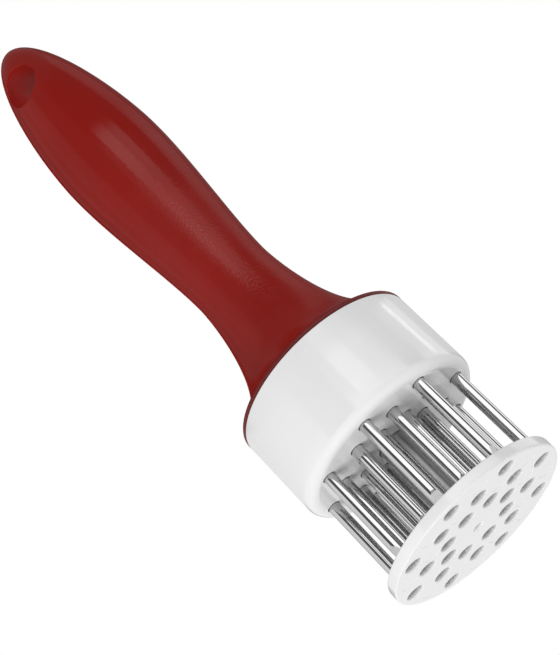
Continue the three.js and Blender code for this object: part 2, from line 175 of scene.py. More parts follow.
class HeadSettings(bpy.types.PropertyGroup):
    wall: length("Wall", "Thickness of the cup's wall", 2.0)
    floor: length("Floor", "Thickness of the cup's floor", 4.0)
    lip_round: length("Lip round", "Round between the floor and the wall", 2.8)
    rim_round: length("Rim round", "Round on the upper edge", 0.3)
    pin_hole: length("Pin hole", "Radius of a pin's hole in the floor", 1.85)
    pin_hole_edge: length("Pin hole edge", "Round on the edge of a pin's hole", 0.12)
    post_hole: length("Post hole", "Radius of the hole for the plunger", 4.95)
    bush_seat: length("Bush seat", "Radius of the seat for the guide bush", 6.1)
    bush_skin: length("Bush skin", "Floor under the guide bush", 1.2)
    boss_radius: length("Boss radius", "Radius of a screw boss", 2.92)
    boss_height: length("Boss height", "Height of a screw boss", 1.6)
    pilot_radius: length("Pilot radius", "Radius of a screw's pilot hole", 1.35)
    pilot_depth: length("Pilot depth", "Depth of a screw's pilot hole", 4.2)
    groove: length("Groove", "Depth of the groove for the handle's bead", 0.7)
    groove_half: length("Groove half height", "Half the height of that groove", 1.1)
    groove_crest: length("Groove crest", "Half the height of its deepest part", 0.4)
    groove_drop: length("Groove drop", "The groove below the cup's rim", 6.4)
    steps: whole("Steps", "Faces round the head", 128)
    post_steps: whole("Post steps", "Faces round the hole for the plunger", 64)
    hole_steps: whole("Hole steps", "Faces round a pin's hole or a boss", 32)
    white: colour("White", "Colour of the head and the guard", (0.86, 0.86, 0.86))
    roughness: share("Roughness", "How glossy the head is", 0.16)


class PinSettings(bpy.types.PropertyGroup):
    radius: length("Radius", "Radius of a pin", 1.65)
    head_radius: length("Head radius", "Radius of a pin's head", 2.4)
    head_height: length("Head height", "Height of a pin's head", 1.5)
    head_chamfer: length("Head chamfer", "Chamfer on a pin's head", 0.2)
    edge: length("Edge", "Thickness of the ground edge", 0.3)
    long_bevel: length("Long bevel", "Height of the long bevel", 5.2)
    short_bevel: length("Short bevel", "Height of the short bevel", 4.6)
    shoulder: length("Shoulder", "Depth of the step above the short bevel", 0.25)
    shoulder_height: length("Shoulder height", "Height of that step", 0.6)
    blade_turn: FloatProperty(name="Blade turn", description="Turn of a blade from the line out of the axis",
                              default=math.radians(110), subtype="ANGLE", unit="ROTATION")
    steps: whole("Steps", "Faces round a pin", 48)
    steel: colour("Steel", "Colour of the pins", (0.52, 0.52, 0.52))
    roughness: share("Roughness", "How polished the pins are", 0.05)


class GuardSettings(bpy.types.PropertyGroup):
    thickness: length("Thickness", "Thickness of the disc", 3.25)
    lower_round: length("Lower round", "Round on the lower edge", 0.5)
    upper_round: length("Upper round", "Round on the upper edge", 0.4)
    hole_radius: length("Hole radius", "Radius of a pin's clearance hole", 2.4)
    hole_edge: length("Hole edge", "Round on a hole's edges", 0.4)
    # Depth at which the painted shade on a hole's wall is at its darkest
    hole_painted_shade_depth: length("Hole shade", "Depth at which a hole's wall is at its greyest", 1.4)
    dimple_radius: length("Dimple radius", "Gate mark at the centre", 1.6)
    dimple_depth: length("Dimple depth", "Depth of the gate mark", 0.8)
    ejector_depth: length("Ejector depth", "Depth of the round ejector marks", 0.08)
    collar_foot: length("Collar foot", "Radius of the collar on the disc", 6.85)
    collar_radius: length("Collar radius", "Radius half way up the collar", 5.95)
    collar_top: length("Collar top", "Radius at the top of the collar", 5.5)
    collar_height: length("Collar height", "Height of the collar", 1.2)
    groove_radius: length("Groove radius", "Outside of the tube's groove", 4.85)
    groove_depth: length("Groove depth", "Depth of the tube's groove", 1.5)
    spigot_radius: length("Spigot radius", "Radius of the stub in the tube", 3.6)
    spigot_chamfer: length("Spigot chamfer", "Chamfer on the stub", 0.6)
    tube_wall: length("Tube wall", "Wall of the plunger tube", 0.85)
    tube_edge: length("Tube edge", "Chamfer on the tube's ends", 0.15)
    wire: length("Wire", "Diameter of the spring's wire", 1.2)
    turns: whole("Turns", "Working turns of the spring", 14)
    closed_pitch: length("Closed pitch", "Pitch of the spring's end turns", 2.1)
    steps: whole("Steps", "Faces round the disc", 160)
    post_steps: whole("Post steps", "Faces round the collar and the stub", 64)
    hole_steps: whole("Hole steps", "Faces round a hole or an ejector mark", 36)
    dimple_steps: whole("Dimple steps", "Faces round the gate mark", 24)
    tube_steps: whole("Tube steps", "Faces round the plunger tube", 96)
    wire_steps: whole("Wire steps", "Places along each turn of the spring's wire", 24)


class StageSettings(bpy.types.PropertyGroup):
    lens: FloatProperty(name="Lens", description="Focal length", default=87.8, min=1.0,
                        subtype="DISTANCE_CAMERA", unit="CAMERA")
    camera_place: FloatVectorProperty(name="Camera place", description="Where the camera stands",
                                      default=(0.14293, -0.34193, -0.11108), size=3,
                                      subtype="TRANSLATION", unit="LENGTH")
    camera_turn: FloatVectorProperty(name="Camera turn", description="How the camera is turned",
                                     default=(2.187401, 0.682172, 0.816256), size=3,
                                     subtype="EULER", unit="ROTATION")
    floor_size: length("Floor size", "Width of the floor", 4000.0)
    floor_drop: length("Floor drop", "Gap between the guard and the floor", 0.5)
    floor_tone: colour("Floor tone", "Colour of the floor", (0.6, 0.6, 0.6))
    floor_lift: share("Floor lift", "How much the floor is lifted towards white for the camera alone", 0.62)
    ambient: share("Ambient", "Even light from all sides", 0.78)
    aim_height: length("Aim height", "Height that the lamps are aimed at", 100.0)
    low_fill: brightness("Low fill", "Brightness of the lamp low on the left", 6.6)
    low_fill_size: length("Low fill size", "Width of that lamp", 450.0)
    front_fill: brightness("Front fill", "Brightness of the lamp in front", 0.65)
    front_fill_size: length("Front fill size", "Width of that lamp", 800.0)
    hole_light: brightness("Hole light", "Brightness that the small lamp gives the hanging hole", 0.42)
    hole_light_shift: length("Hole light shift", "How far it stands to the front of the hole's middle", 3.0)
    card_distance: length("Card distance", "Radius that the reflector cards stand at", 300.0)


GROUPS = {
    "tenderizer_handle": HandleSettings,
    "tenderizer_head": HeadSettings,
    "tenderizer_pins": PinSettings,
    "tenderizer_guard": GuardSettings,
    "tenderizer_stage": StageSettings,
}


# Materials


class Finish:
    """A procedural material on object coordinates, with its shader and a few ways to add to it."""

    def __init__(self, name, base, roughness, metallic=0.0):
        self.material = bpy.data.materials.new(name)
        self.material.use_nodes = True
        self.tree = self.material.node_tree
        self.shader = self.tree.nodes["Principled BSDF"]
        self.shader.inputs["Base Color"].default_value = (*base, 1.0)
        self.shader.inputs["Roughness"].default_value = roughness
        self.shader.inputs["Metallic"].default_value = metallic
        self.base = base
        self.roughness = roughness
        self.place = self.tree.nodes.new("ShaderNodeTexCoord").outputs["Object"]

    def node(self, kind, **values):
        made = self.tree.nodes.new(kind)
        for key, value in values.items():
            setattr(made, key, value)
        return made

    def link(self, source, target):
        self.tree.links.new(source, target)

    def set(self, **values):
        """Constants on the shader's own sockets."""
        for key, value in values.items():
            self.shader.inputs[key.replace("_", " ")].default_value = value

    def stretched(self, scale):
        """Object coordinates scaled by a factor along each axis."""
        mapping = self.node("ShaderNodeMapping")
        mapping.inputs["Scale"].default_value = scale
        self.link(self.place, mapping.inputs["Vector"])
        return mapping.outputs["Vector"]

    def noise(self, scale, detail, stretch=(1.0, 1.0, 1.0)):
        made = self.node("ShaderNodeTexNoise")
        made.inputs["Scale"].default_value = scale
        made.inputs["Detail"].default_value = detail
        self.link(self.stretched(stretch), made.inputs["Vector"])
        return made.outputs["Fac"]

    def ranged(self, value, low, high, source_low=0.3, source_high=0.7):
        """A value brought from one range, by default that of a noise, to another."""
        made = self.node("ShaderNodeMapRange")
        for key, number in zip(("From Min", "From Max", "To Min", "To Max"),
                               (source_low, source_high, low, high)):
            made.inputs[key].default_value = number
        self.link(value, made.inputs["Value"])
        return made.outputs["Result"]

    def height_fade(self, low, high):
        """0 at one height of the object and 1 at another."""
        parts = self.node("ShaderNodeSeparateXYZ")
        self.link(self.place, parts.inputs["Vector"])
        return self.ranged(parts.outputs["Z"], 0.0, 1.0, low, high)

    def product(self, first, second):
        """Two values multiplied."""
        made = self.node("ShaderNodeMath", operation="MULTIPLY")
        self.link(first, made.inputs[0])
        self.link(second, made.inputs[1])
        return made.outputs["Value"]

    def vary_roughness(self, value, spread):
        """Moves the roughness to either side by a value."""
        low, high = self.roughness - spread, self.roughness + spread
        self.link(self.ranged(value, low, high), self.shader.inputs["Roughness"])

    def vary_colour(self, value, other):
        """Mixes the base colour towards another one by a value."""
        mix = self.node("ShaderNodeMix", data_type="RGBA")
        mix.inputs["A"].default_value = (*self.base, 1.0)
        mix.inputs["B"].default_value = (*other, 1.0)
        self.link(self.ranged(value, 0.0, 1.0), mix.inputs["Factor"])
        self.link(mix.outputs["Result"], self.shader.inputs["Base Color"])

    def bump(self, value, depth, strength, before=None):
        """Relief of a depth in metres. Several are chained through before."""
        made = self.node("ShaderNodeBump")
        made.inputs["Strength"].default_value = strength
        made.inputs["Distance"].default_value = depth
        self.link(value, made.inputs["Height"])
        if before:
            self.link(before, made.inputs["Normal"])
        self.link(made.outputs["Normal"], self.shader.inputs["Normal"])
        return made.outputs["Normal"]


def shade(base, factor):
    """A colour made darker or lighter by a factor."""
    return tuple(min(channel * factor, 1.0) for channel in base)


def red_plastic(settings):
    """Satin moulded plastic: a fine spark-eroded grain, and a faint cloudiness in tone and gloss."""
    finish = Finish("satin red plastic", settings.red, settings.roughness)
    finish.set(IOR=1.5, Specular_IOR_Level=0.28)
    finish.vary_colour(finish.noise(45.0, detail=3.0), shade(settings.red, 0.9))
    worn = finish.height_fade(settings.gloss_height, settings.dull_height)
    uneven = finish.ranged(finish.noise(160.0, detail=2.0), 0.5, 0.8)
    finish.vary_roughness(finish.product(worn, uneven), 0.055)
    grain = finish.bump(finish.noise(2200.0, detail=2.0), depth=0.02 * MM, strength=0.35)
    finish.bump(finish.product(worn, finish.noise(1300.0, detail=1.0)), depth=0.06 * MM, strength=0.9,
                before=grain)
    return finish.material


def matt_red_painted_rim_shade(settings):
    """The hanging hole's wall and the rim, which aren't polished as the outside is. The rim's colour is
    darkened as painted shade.
    """
    finish = Finish("matt red plastic, painted rim shade", shade(settings.red, 0.98), 0.5)
    finish.set(IOR=1.5, Specular_IOR_Level=0.35)
    # Painted shade: the colour darkens below the gloss height, on the rim by the head
    rim_painted_shade = finish.height_fade(settings.gloss_height, settings.painted_shade_height)
    finish.vary_colour(rim_painted_shade, shade(settings.red, 0.45))
    finish.vary_roughness(finish.noise(160.0, detail=2.0), 0.04)
    finish.bump(finish.noise(2200.0, detail=2.0), depth=0.02 * MM, strength=0.5)
    return finish.material


def white_plastic(name, settings):
    """Glossy moulded plastic with the slight unevenness of a polished mould."""
    finish = Finish(name, settings.white, settings.roughness)
    finish.set(IOR=1.5, Coat_Weight=0.25, Coat_Roughness=0.06)
    finish.vary_colour(finish.noise(60.0, detail=3.0), shade(settings.white, 0.975))
    finish.vary_roughness(finish.noise(240.0, detail=3.0), 0.04)
    wave = finish.bump(finish.noise(70.0, detail=1.0), depth=0.06 * MM, strength=0.35)
    finish.bump(finish.noise(1500.0, detail=2.0), depth=0.01 * MM, strength=0.2, before=wave)
    return finish.material


def gloss_white(context):
    """The one material that the head and the guard share."""
    name = "gloss white plastic"
    return bpy.data.materials.get(name) or white_plastic(name, context.scene.tenderizer_head)


def matt_white_painted_shade(settings, reach):
    """The walls of the guard's holes and its gate mark, greyed towards the bottom over a reach as painted
    shade, with scratch marks where the pins run mixed in.
    """
    finish = Finish("matt white plastic, painted shade", settings.white, 0.35)
    finish.set(IOR=1.5)
    # Painted shade: 0 at the guard's lower face and 1 a reach in, so a hollow's colour greys with depth
    depth = finish.height_fade(guard_low.z, guard_low.z + reach)
    scratches = finish.ranged(finish.noise(2600.0, detail=3.0, stretch=(1.0, 1.0, 0.12)), 0.6, 1.1)
    finish.vary_colour(finish.product(depth, scratches), shade(settings.white, 0.55))
    finish.vary_roughness(finish.noise(240.0, detail=3.0), 0.04)
    finish.bump(finish.noise(1500.0, detail=2.0), depth=0.01 * MM, strength=0.2)
    return finish.material


def polished_steel(settings):
    """Bright drawn steel: fine lines run along each pin."""
    finish = Finish("polished steel", settings.steel, settings.roughness, 1.0)
    lines = finish.noise(1800.0, detail=1.0, stretch=(1.0, 1.0, 0.006))
    finish.vary_colour(lines, shade(settings.steel, 0.88))
    finish.vary_roughness(finish.noise(500.0, detail=1.0, stretch=(1.0, 1.0, 0.02)), 0.015)
    return finish.material


def ground_steel(settings):
    """The ground bevels: duller, with grinding lines across the pin."""
    finish = Finish("ground steel", shade(settings.steel, 1.1), 0.24, 1.0)
    finish.vary_roughness(finish.noise(700.0, detail=2.0), 0.06)
    finish.bump(finish.noise(2600.0, detail=3.0, stretch=(0.02, 0.02, 1.0)), depth=0.01 * MM, strength=0.5)
    return finish.material


def tube_steel():
    """Satin tube: faint drawn lines run along it."""
    finish = Finish("satin tube steel", (0.5, 0.5, 0.51), 0.4, 1.0)
    lines = finish.noise(1500.0, detail=2.0, stretch=(1.0, 1.0, 0.01))
    finish.vary_colour(lines, (0.44, 0.44, 0.45))
    finish.vary_roughness(finish.noise(300.0, detail=2.0), 0.03)
    finish.bump(lines, depth=0.006 * MM, strength=0.2)
    return finish.material


def screw_steel():
    """Zinc plated steel of the screws, the washer and the spring."""
    finish = Finish("plated steel", (0.6, 0.61, 0.63), 0.28, 1.0)
    finish.vary_colour(finish.noise(400.0, detail=3.0), (0.48, 0.49, 0.52))
    finish.vary_roughness(finish.noise(900.0, detail=2.0), 0.08)
    finish.bump(finish.noise(2200.0, detail=2.0), depth=0.01 * MM, strength=0.3)
    return finish.material


def grey_nylon():
    """Natural grey nylon of the inner mouldings."""
    finish = Finish("grey nylon", (0.36, 0.37, 0.38), 0.5)
    finish.vary_colour(finish.noise(120.0, detail=3.0), (0.32, 0.33, 0.34))
    finish.vary_roughness(finish.noise(400.0, detail=2.0), 0.06)
    finish.bump(finish.noise(1800.0, detail=2.0), depth=0.02 * MM, strength=0.3)
    return finish.material


# Modelling helpers


def spun(bm, geom, angle, steps, centre=ORIGIN, rise=0.0, merge=False):
    """Spins geometry about an upright axis, with a rise at each step."""
    return bmesh.ops.spin(bm, geom=geom, cent=centre, axis=UP, dvec=(0.0, 0.0, rise), angle=angle,
                          steps=steps, use_merge=merge, use_normal_flip=False, use_duplicate=False)


def turn(bm, outline, steps, closed=False, centre=(0.0, 0.0)):
    """Spins an outline of (radius, height) points about an upright axis through a centre."""
    x, y = centre
    verts = [bm.verts.new((x + radius, y, height)) for radius, height in outline]
    edges = [bm.edges.new(pair) for pair in zip(verts, verts[1:])]
    if closed:
        edges.append(bm.edges.new((verts[-1], verts[0])))
    spun(bm, verts + edges, TAU, steps, centre=(x, y, 0.0), merge=True)
    bmesh.ops.remove_doubles(bm, verts=bm.verts, dist=MERGE)


def arc(radius, height, size, start, sweep=math.pi / 2, count=6):
    """Points of a round about (radius, height), both ends included."""
    angles = [start + sweep * i / count for i in range(count + 1)]
    return [(radius + size * math.cos(a), height + size * math.sin(a)) for a in angles]


def cap(bm, level, normal):
    """Fills the flat face between all open edges at a level, holes left open, with crisp borders."""
    edges = [e for e in bm.edges if e.is_boundary and all(abs(v.co.z - level) < CAPTURE for v in e.verts)]
    bmesh.ops.triangle_fill(bm, use_beauty=True, use_dissolve=False, edges=edges, normal=normal)
    for edge in edges:
        edge.smooth = False


def parts_of(faces):
    """The faces with their edges and vertices."""
    found = dict.fromkeys(faces)
    for face in faces:
        found.update(dict.fromkeys(face.edges))
        found.update(dict.fromkeys(face.verts))
    return list(found)


def finished(bm, name, material, body, nodes):
    """Turns a bmesh into a piece that rides on a body and stands for CAD nodes."""
    bmesh.ops.recalc_face_normals(bm, faces=bm.faces)
    mesh = bpy.data.meshes.new(name)
    bm.to_mesh(mesh)
    bm.free()
    return placed(mesh, name, material, body, nodes)


def placed(mesh, name, material, body, nodes):
    """Turns a mesh into such a piece, smooth but for its crisp edges."""
    crisp = [e.use_edge_sharp for e in mesh.edges]
    mesh.polygons.foreach_set("use_smooth", [True] * len(mesh.polygons))
    mesh.set_sharp_from_angle(angle=CRISP_ANGLE)
    for edge, was_crisp in zip(mesh.edges, crisp):
        edge.use_edge_sharp = edge.use_edge_sharp or was_crisp
    if not mesh.materials:
        mesh.materials.append(material)
    piece = bpy.data.objects.new(name, mesh)
    bpy.context.scene.collection.objects.link(piece)
    if body:
        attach(piece, body)
    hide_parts(*nodes)
    return piece


# The handle


# Points along the flare and the grip, and along the rounded end
CURVE_POINTS, END_POINTS = 49, 73


def handle_curves(s):
    """The flare, the grip and the rounded end as fine (radius, height) points."""
    top = housing_high.z + SEAT_GAP + s.flange_thickness
    root = handle_high.x - s.flare_ledge
    neck = top + s.neck_height
    wide = neck + s.grip_rise
    end = handle_high.z

    def curve(knots, count):
        points = interpolate_bezier(*(Vector((x, y, 0.0)) for x, y in knots), count)
        return [(p.x, p.y) for p in points]

    flare = curve(((root, top), (root - s.flare_inward, top + s.flare_lift),
                   (s.neck_radius, neck - s.neck_pull), (s.neck_radius, neck)), CURVE_POINTS)
    grip = curve(((s.neck_radius, neck), (s.neck_radius, neck + s.neck_ease),
                  (s.grip_radius, wide - s.grip_ease), (s.grip_radius, wide)), CURVE_POINTS)
    rounded = curve(((s.grip_radius, wide), (s.grip_radius, wide + s.grip_pull),
                     (s.end_ease, end), (0.0, end)), END_POINTS)
    return flare, grip, rounded, wide


def flare_inside(flare, wall, low_radius, high_radius):
    """The flare moved in by its wall, from one radius down to another."""
    inside = []
    for (x0, y0), (x1, y1) in zip(flare, flare[1:]):
        run = math.hypot(x1 - x0, y1 - y0)
        point = ((x0 + x1) / 2 - wall * (y1 - y0) / run, (y0 + y1) / 2 + wall * (x1 - x0) / run)
        if high_radius < point[0] < low_radius:
            inside.append(point)
    return inside


def handle_outline(s):
    """One closed outline, from the blind core hole round the sleeve, the plug and the rim to the end."""
    flare, grip, rounded, wide = handle_curves(s)
    seat = spring_high.z + SEAT_GAP
    foot = handle_low.z
    flange = housing_high.z + SEAT_GAP
    top = flange + s.flange_thickness
    core_top = wide + s.core_rise
    plug_low = flange - s.plug_depth
    bead = flange - s.bead_drop
    plug_in = s.plug_radius - s.plug_wall
    inside = flare_inside(flare, s.wall, plug_in, s.sleeve_radius + s.sleeve_gap)
    edge = s.flange_round
    rim = handle_high.x
    return [
        (0.0, core_top),
        (s.core_radius - s.core_taper, core_top),
        (s.core_radius, seat),
        (s.bore_radius, seat),
        (s.bore_radius, foot),
        (s.sleeve_radius, foot),
        (s.sleeve_radius, inside[-1][1]),
        *reversed(inside),
        (plug_in, inside[0][1]),
        (plug_in, plug_low),
        (s.plug_radius - s.plug_chamfer, plug_low),
        (s.plug_radius, plug_low + s.plug_chamfer),
        (s.plug_radius, bead - s.bead_foot),
        (s.plug_radius + s.bead, bead - s.bead_crest),
        (s.plug_radius + s.bead, bead + s.bead_crest),
        (s.plug_radius, bead + s.bead_foot),
        (s.plug_radius, flange),
        *arc(rim - edge, flange + edge, edge, -math.pi / 2, count=4),
        *arc(rim - edge, top - edge, edge, 0.0, count=4),
        *flare,
        *grip[1:],
        *rounded[1:],
    ]


def ring_of(edges):
    """The vertices of a closed chain of edges, in order."""
    chain = {}
    for edge in edges:
        for v in edge.verts:
            chain.setdefault(v, []).append(edge.other_vert(v))
    start = min(chain, key=lambda v: (v.co.z, v.co.x))
    ring, last = [start], None
    while True:
        here = ring[-1]
        step = next(v for v in chain[here] if v is not last)
        if step is start:
            return ring
        last = here
        ring.append(step)


def grown(bm, ring, places):
    """Extrudes a ring of open edges and moves each new vertex to its place."""
    pairs = list(zip(ring, ring[1:] + ring[:1]))
    edges = [bm.edges.get(pair) for pair in pairs]
    made = bmesh.ops.extrude_edge_only(bm, edges=edges)
    fresh = {g for g in made["geom"] if isinstance(g, bmesh.types.BMVert)}
    result = []
    for v, place in zip(ring, places):
        partner = next(e.other_vert(v) for e in v.link_edges if e.other_vert(v) in fresh)
        partner.co = place
        result.append(partner)
    return result


# How far the window that is opened for the hanging hole reaches past it, and to either side
WINDOW_BELOW, WINDOW_ABOVE = 2.4 * MM, 1.6 * MM
WINDOW_TURN = math.radians(50)
# Faces further out than this share of the handle's radius are on its outside
OUTSIDE_SHARE = 0.95
# Rows of faces from the window to a mouth, round its lip, and through the hole
FLAT_ROWS, LIP_ROWS, WALL_ROWS = 4, 5, 8


def carve_hanging_hole(bm, s):
    """Opens the handle on both sides and joins the two rounded mouths by one straight wall."""
    profile = sorted((z, r) for r, z in handle_curves(s)[2])
    heights = [z for z, _ in profile]

    def radius_at(z):
        i = min(max(bisect_left(heights, z), 1), len(profile) - 1)
        (z0, r0), (z1, r1) = profile[i - 1], profile[i]
        return r0 + (r1 - r0) * (z - z0) / (z1 - z0)

    level = handle_high.z - s.hole_drop
    low = level - s.hole_half_height - WINDOW_BELOW
    high = level + s.hole_half_height + WINDOW_ABOVE
    mouths = []
    for side in (-1.0, 1.0):
        window = []
        for face in bm.faces:
            centre = face.calc_center_median()
            outside = low < centre.z < high and centre.xy.length > radius_at(centre.z) * OUTSIDE_SHARE
            if outside and abs(math.atan2(centre.x, side * centre.y)) < WINDOW_TURN:
                window.append(face)
        bmesh.ops.delete(bm, geom=window, context="FACES")
        open_edges = [e for e in bm.edges if e.is_boundary and all(v.co.y * side > 0 for v in e.verts)]
        ring = ring_of(open_edges)
        start = [(math.atan2(v.co.x, side * v.co.y), v.co.z) for v in ring]
        aims = [math.atan2((z - level) / s.hole_half_height, math.sin(t) * radius_at(z) / s.hole_half_width)
                for t, z in start]
        mouths.append(mouth(bm, ring, start, aims, s, level, side, radius_at))
    (ring, front), (_, back) = mouths
    order = match_order(front, back)
    for i in range(1, WALL_ROWS + 1):
        places = [here.lerp(back[k], i / WALL_ROWS) for here, k in zip(front, order)]
        known = set(bm.faces)
        ring = grown(bm, ring, places)
        for face in set(bm.faces) - known:
            face.material_index = 1
    bmesh.ops.remove_doubles(bm, verts=bm.verts, dist=CAPTURE)


def match_order(first, second):
    """For each point of one mouth, the place in the other's list of the point that faces it."""
    return [min(range(len(second)), key=lambda i: abs(second[i].x - p.x) + abs(second[i].z - p.z))
            for p in first]


def mouth(bm, ring, start, aims, s, level, side, radius_at):
    """Grows a window's edge in to the oval on the handle's surface, then round the lip."""
    def oval(aim, grow):
        x = (s.hole_half_width + grow) * math.cos(aim)
        z = level + (s.hole_half_height + grow) * math.sin(aim)
        return x, z

    def on_surface(angle, z):
        r = radius_at(z)
        return Vector((r * math.sin(angle), side * r * math.cos(angle), z))

    for i in range(1, FLAT_ROWS + 1):
        t = i / FLAT_ROWS
        places = []
        for (angle, z), aim in zip(start, aims):
            x1, z1 = oval(aim, s.hole_lip)
            angle1 = math.asin(x1 / radius_at(z1))
            places.append(on_surface(angle + (angle1 - angle) * t, z + (z1 - z) * t))
        ring = grown(bm, ring, places)
    for i in range(1, LIP_ROWS + 1):
        turn_in = math.pi / 2 * i / LIP_ROWS
        places = []
        for aim in aims:
            x, z = oval(aim, s.hole_lip * (1.0 - math.sin(turn_in)))
            r = radius_at(z)
            y = math.sqrt(r * r - x * x) - s.hole_lip * (1.0 - math.cos(turn_in))
            places.append(Vector((x, side * y, z)))
        ring = grown(bm, ring, places)
    return ring, places


class TENDERIZER_OT_handle(bpy.types.Operator):
    """The red handle: flange, flare, grip, rounded end, hanging hole and hollow inside"""

    bl_idname = "tenderizer.handle"
    bl_label = "Handle"

    def execute(self, context):
        s = context.scene.tenderizer_handle
        bm = bmesh.new()
        turn(bm, handle_outline(s), s.steps)
        ledge = handle_high.x - s.flare_ledge - HAIR
        # The rim's faces take the matt red, whose colour holds painted shade
        for face in bm.faces:
            if face.calc_center_median().xy.length > ledge:
                face.material_index = 1
        carve_hanging_hole(bm, s)
        piece = finished(bm, "handle_moulding", red_plastic(s), "handle", ["handle"])
        piece.data.materials.append(matt_red_painted_rim_shade(s))
        return {"FINISHED"}


# The head


class TENDERIZER_OT_head(bpy.types.Operator):
    """The white cup, with its rounded lip, floor, pin holes, bush seat and screw bosses"""

    bl_idname = "tenderizer.head"
    bl_label = "Head"

    def execute(self, context):
        s = context.scene.tenderizer_head
        low, high, outer = housing_low.z, housing_high.z, housing_high.x
        top = low + s.floor
        inner = outer - s.wall
        groove = high - s.groove_drop
        bm = bmesh.new()
        turn(bm, [
            *arc(outer - s.lip_round, low + s.lip_round, s.lip_round, -math.pi / 2, count=12),
            *arc(outer - s.rim_round, high - s.rim_round, s.rim_round, 0.0, count=4),
            (inner, high),
            (inner, groove + s.groove_half),
            (inner + s.groove, groove + s.groove_crest),
            (inner + s.groove, groove - s.groove_crest),
            (inner, groove - s.groove_half),
            (inner, top),
        ], s.steps)
        turn(bm, [(s.post_hole, low), (s.post_hole, low + s.bush_skin),
                  (s.bush_seat, low + s.bush_skin), (s.bush_seat, top)], s.post_steps)
        edge = s.pin_hole_edge
        for node in ALL_PINS:
            turn(bm, [*reversed(arc(s.pin_hole + edge, low + edge, edge, math.pi, count=3)),
                      (s.pin_hole, top)], s.hole_steps, centre=centre_of(node).xy)
        for node in (f"plate_screw_{i + 1}" for i in range(4)):
            turn(bm, [(s.boss_radius, top), (s.boss_radius, top + s.boss_height),
                      (s.pilot_radius, top + s.boss_height),
                      (s.pilot_radius, top + s.boss_height - s.pilot_depth),
                      (0.0, top + s.boss_height - s.pilot_depth)], s.hole_steps, centre=centre_of(node).xy)
        cap(bm, low, DOWN)
        cap(bm, top, UP)
        finished(bm, "head_cup", gloss_white(context), "handle", ["housing"])
        return {"FINISHED"}


# The pins


def everything(bm):
    return bm.verts[:] + bm.edges[:] + bm.faces[:]


def ground(bm, point, normal):
    """Cuts away what lies beyond a plane and closes the cut with one crisp flat face."""
    cut = bmesh.ops.bisect_plane(bm, geom=everything(bm), dist=MERGE, plane_co=point, plane_no=normal,
                                 clear_outer=True, clear_inner=False)
    edges = [g for g in cut["geom_cut"] if isinstance(g, bmesh.types.BMEdge)]
    used = [v for edge in edges for v in edge.verts]
    ends = [v for v in dict.fromkeys(used) if used.count(v) == 1]
    if ends:
        edges.append(bm.edges.new(ends))
    made = bmesh.ops.edgeloop_fill(bm, edges=edges, mat_nr=1, use_smooth=False)
    for face in made["faces"]:
        face.material_index = 1
        for edge in face.edges:
            edge.smooth = False


def half_pin(s, tip, head, top, upper):
    """The part of a pin above or below its shoulder, open where the two meet."""
    bm = bmesh.new()
    turn(bm, [
        (0.0, tip), (s.radius, tip), (s.radius, head),
        (s.head_radius - s.head_chamfer, head), (s.head_radius, head + s.head_chamfer),
        (s.head_radius, top - s.head_chamfer), (s.head_radius - s.head_chamfer, top), (0.0, top),
    ], s.steps)
    half = s.edge / 2
    chord = s.radius - s.shoulder
    notch = tip + s.short_bevel
    ground(bm, (0.0, half, tip), (0.0, s.long_bevel, half - s.radius))
    bmesh.ops.bisect_plane(bm, geom=everything(bm), dist=MERGE, plane_co=(0.0, 0.0, notch),
                           plane_no=UP, clear_outer=not upper, clear_inner=upper)
    if upper:
        ground(bm, (0.0, -chord, notch), (0.0, -s.shoulder_height, -s.shoulder))
    else:
        ground(bm, (0.0, -half, tip), (0.0, -s.short_bevel, half - chord))
    return bm


def pin_mesh(s, tip, head, top):
    """A headed pin on the Z axis, its long bevel on +Y and its short one, with a shoulder, on -Y."""
    bm = half_pin(s, tip, head, top, True)
    lower = half_pin(s, tip, head, top, False)
    mesh = bpy.data.meshes.new("pin")
    lower.to_mesh(mesh)
    lower.free()
    bm.from_mesh(mesh)
    bmesh.ops.remove_doubles(bm, verts=bm.verts, dist=CAPTURE)
    bmesh.ops.recalc_face_normals(bm, faces=bm.faces)
    bm.to_mesh(mesh)
    bm.free()
    return mesh


class TENDERIZER_OT_pins(bpy.types.Operator):
    """The steel pins with their heads and ground ends, each a piece of its own"""

    bl_idname = "tenderizer.pins"
    bl_label = "Pins"

    def execute(self, context):
        s = context.scene.tenderizer_pins
        low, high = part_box("pin_inner_1")
        steel, bevel = polished_steel(s), ground_steel(s)
        master = pin_mesh(s, low.z, high.z - s.head_height, high.z)
        master.materials.append(steel)
        master.materials.append(bevel)
        for node in ALL_PINS:
            place = centre_of(node)
            turned = Matrix.Rotation(math.atan2(place.y, place.x) + s.blade_turn, 4, "Z")
            mesh = master.copy()
            mesh.transform(Matrix.Translation((place.x, place.y, 0.0)) @ turned)
            placed(mesh, node.replace("pin", "steel_pin"), steel, "handle", [node])
        bpy.data.meshes.remove(master)
        return {"FINISHED"}


# The guard and its plunger


def ejector_places():
    """The centres of the ejector marks, half way between neighbouring holes of the two outer rings."""
    for ring in RINGS[1:]:
        places = [centre_of(node) for node in ring_of_pins(ring)]
        for place, following in zip(places, places[1:] + places[:1]):
            middle = (place + following) / 2
            yield middle * (place.xy.length / middle.xy.length)


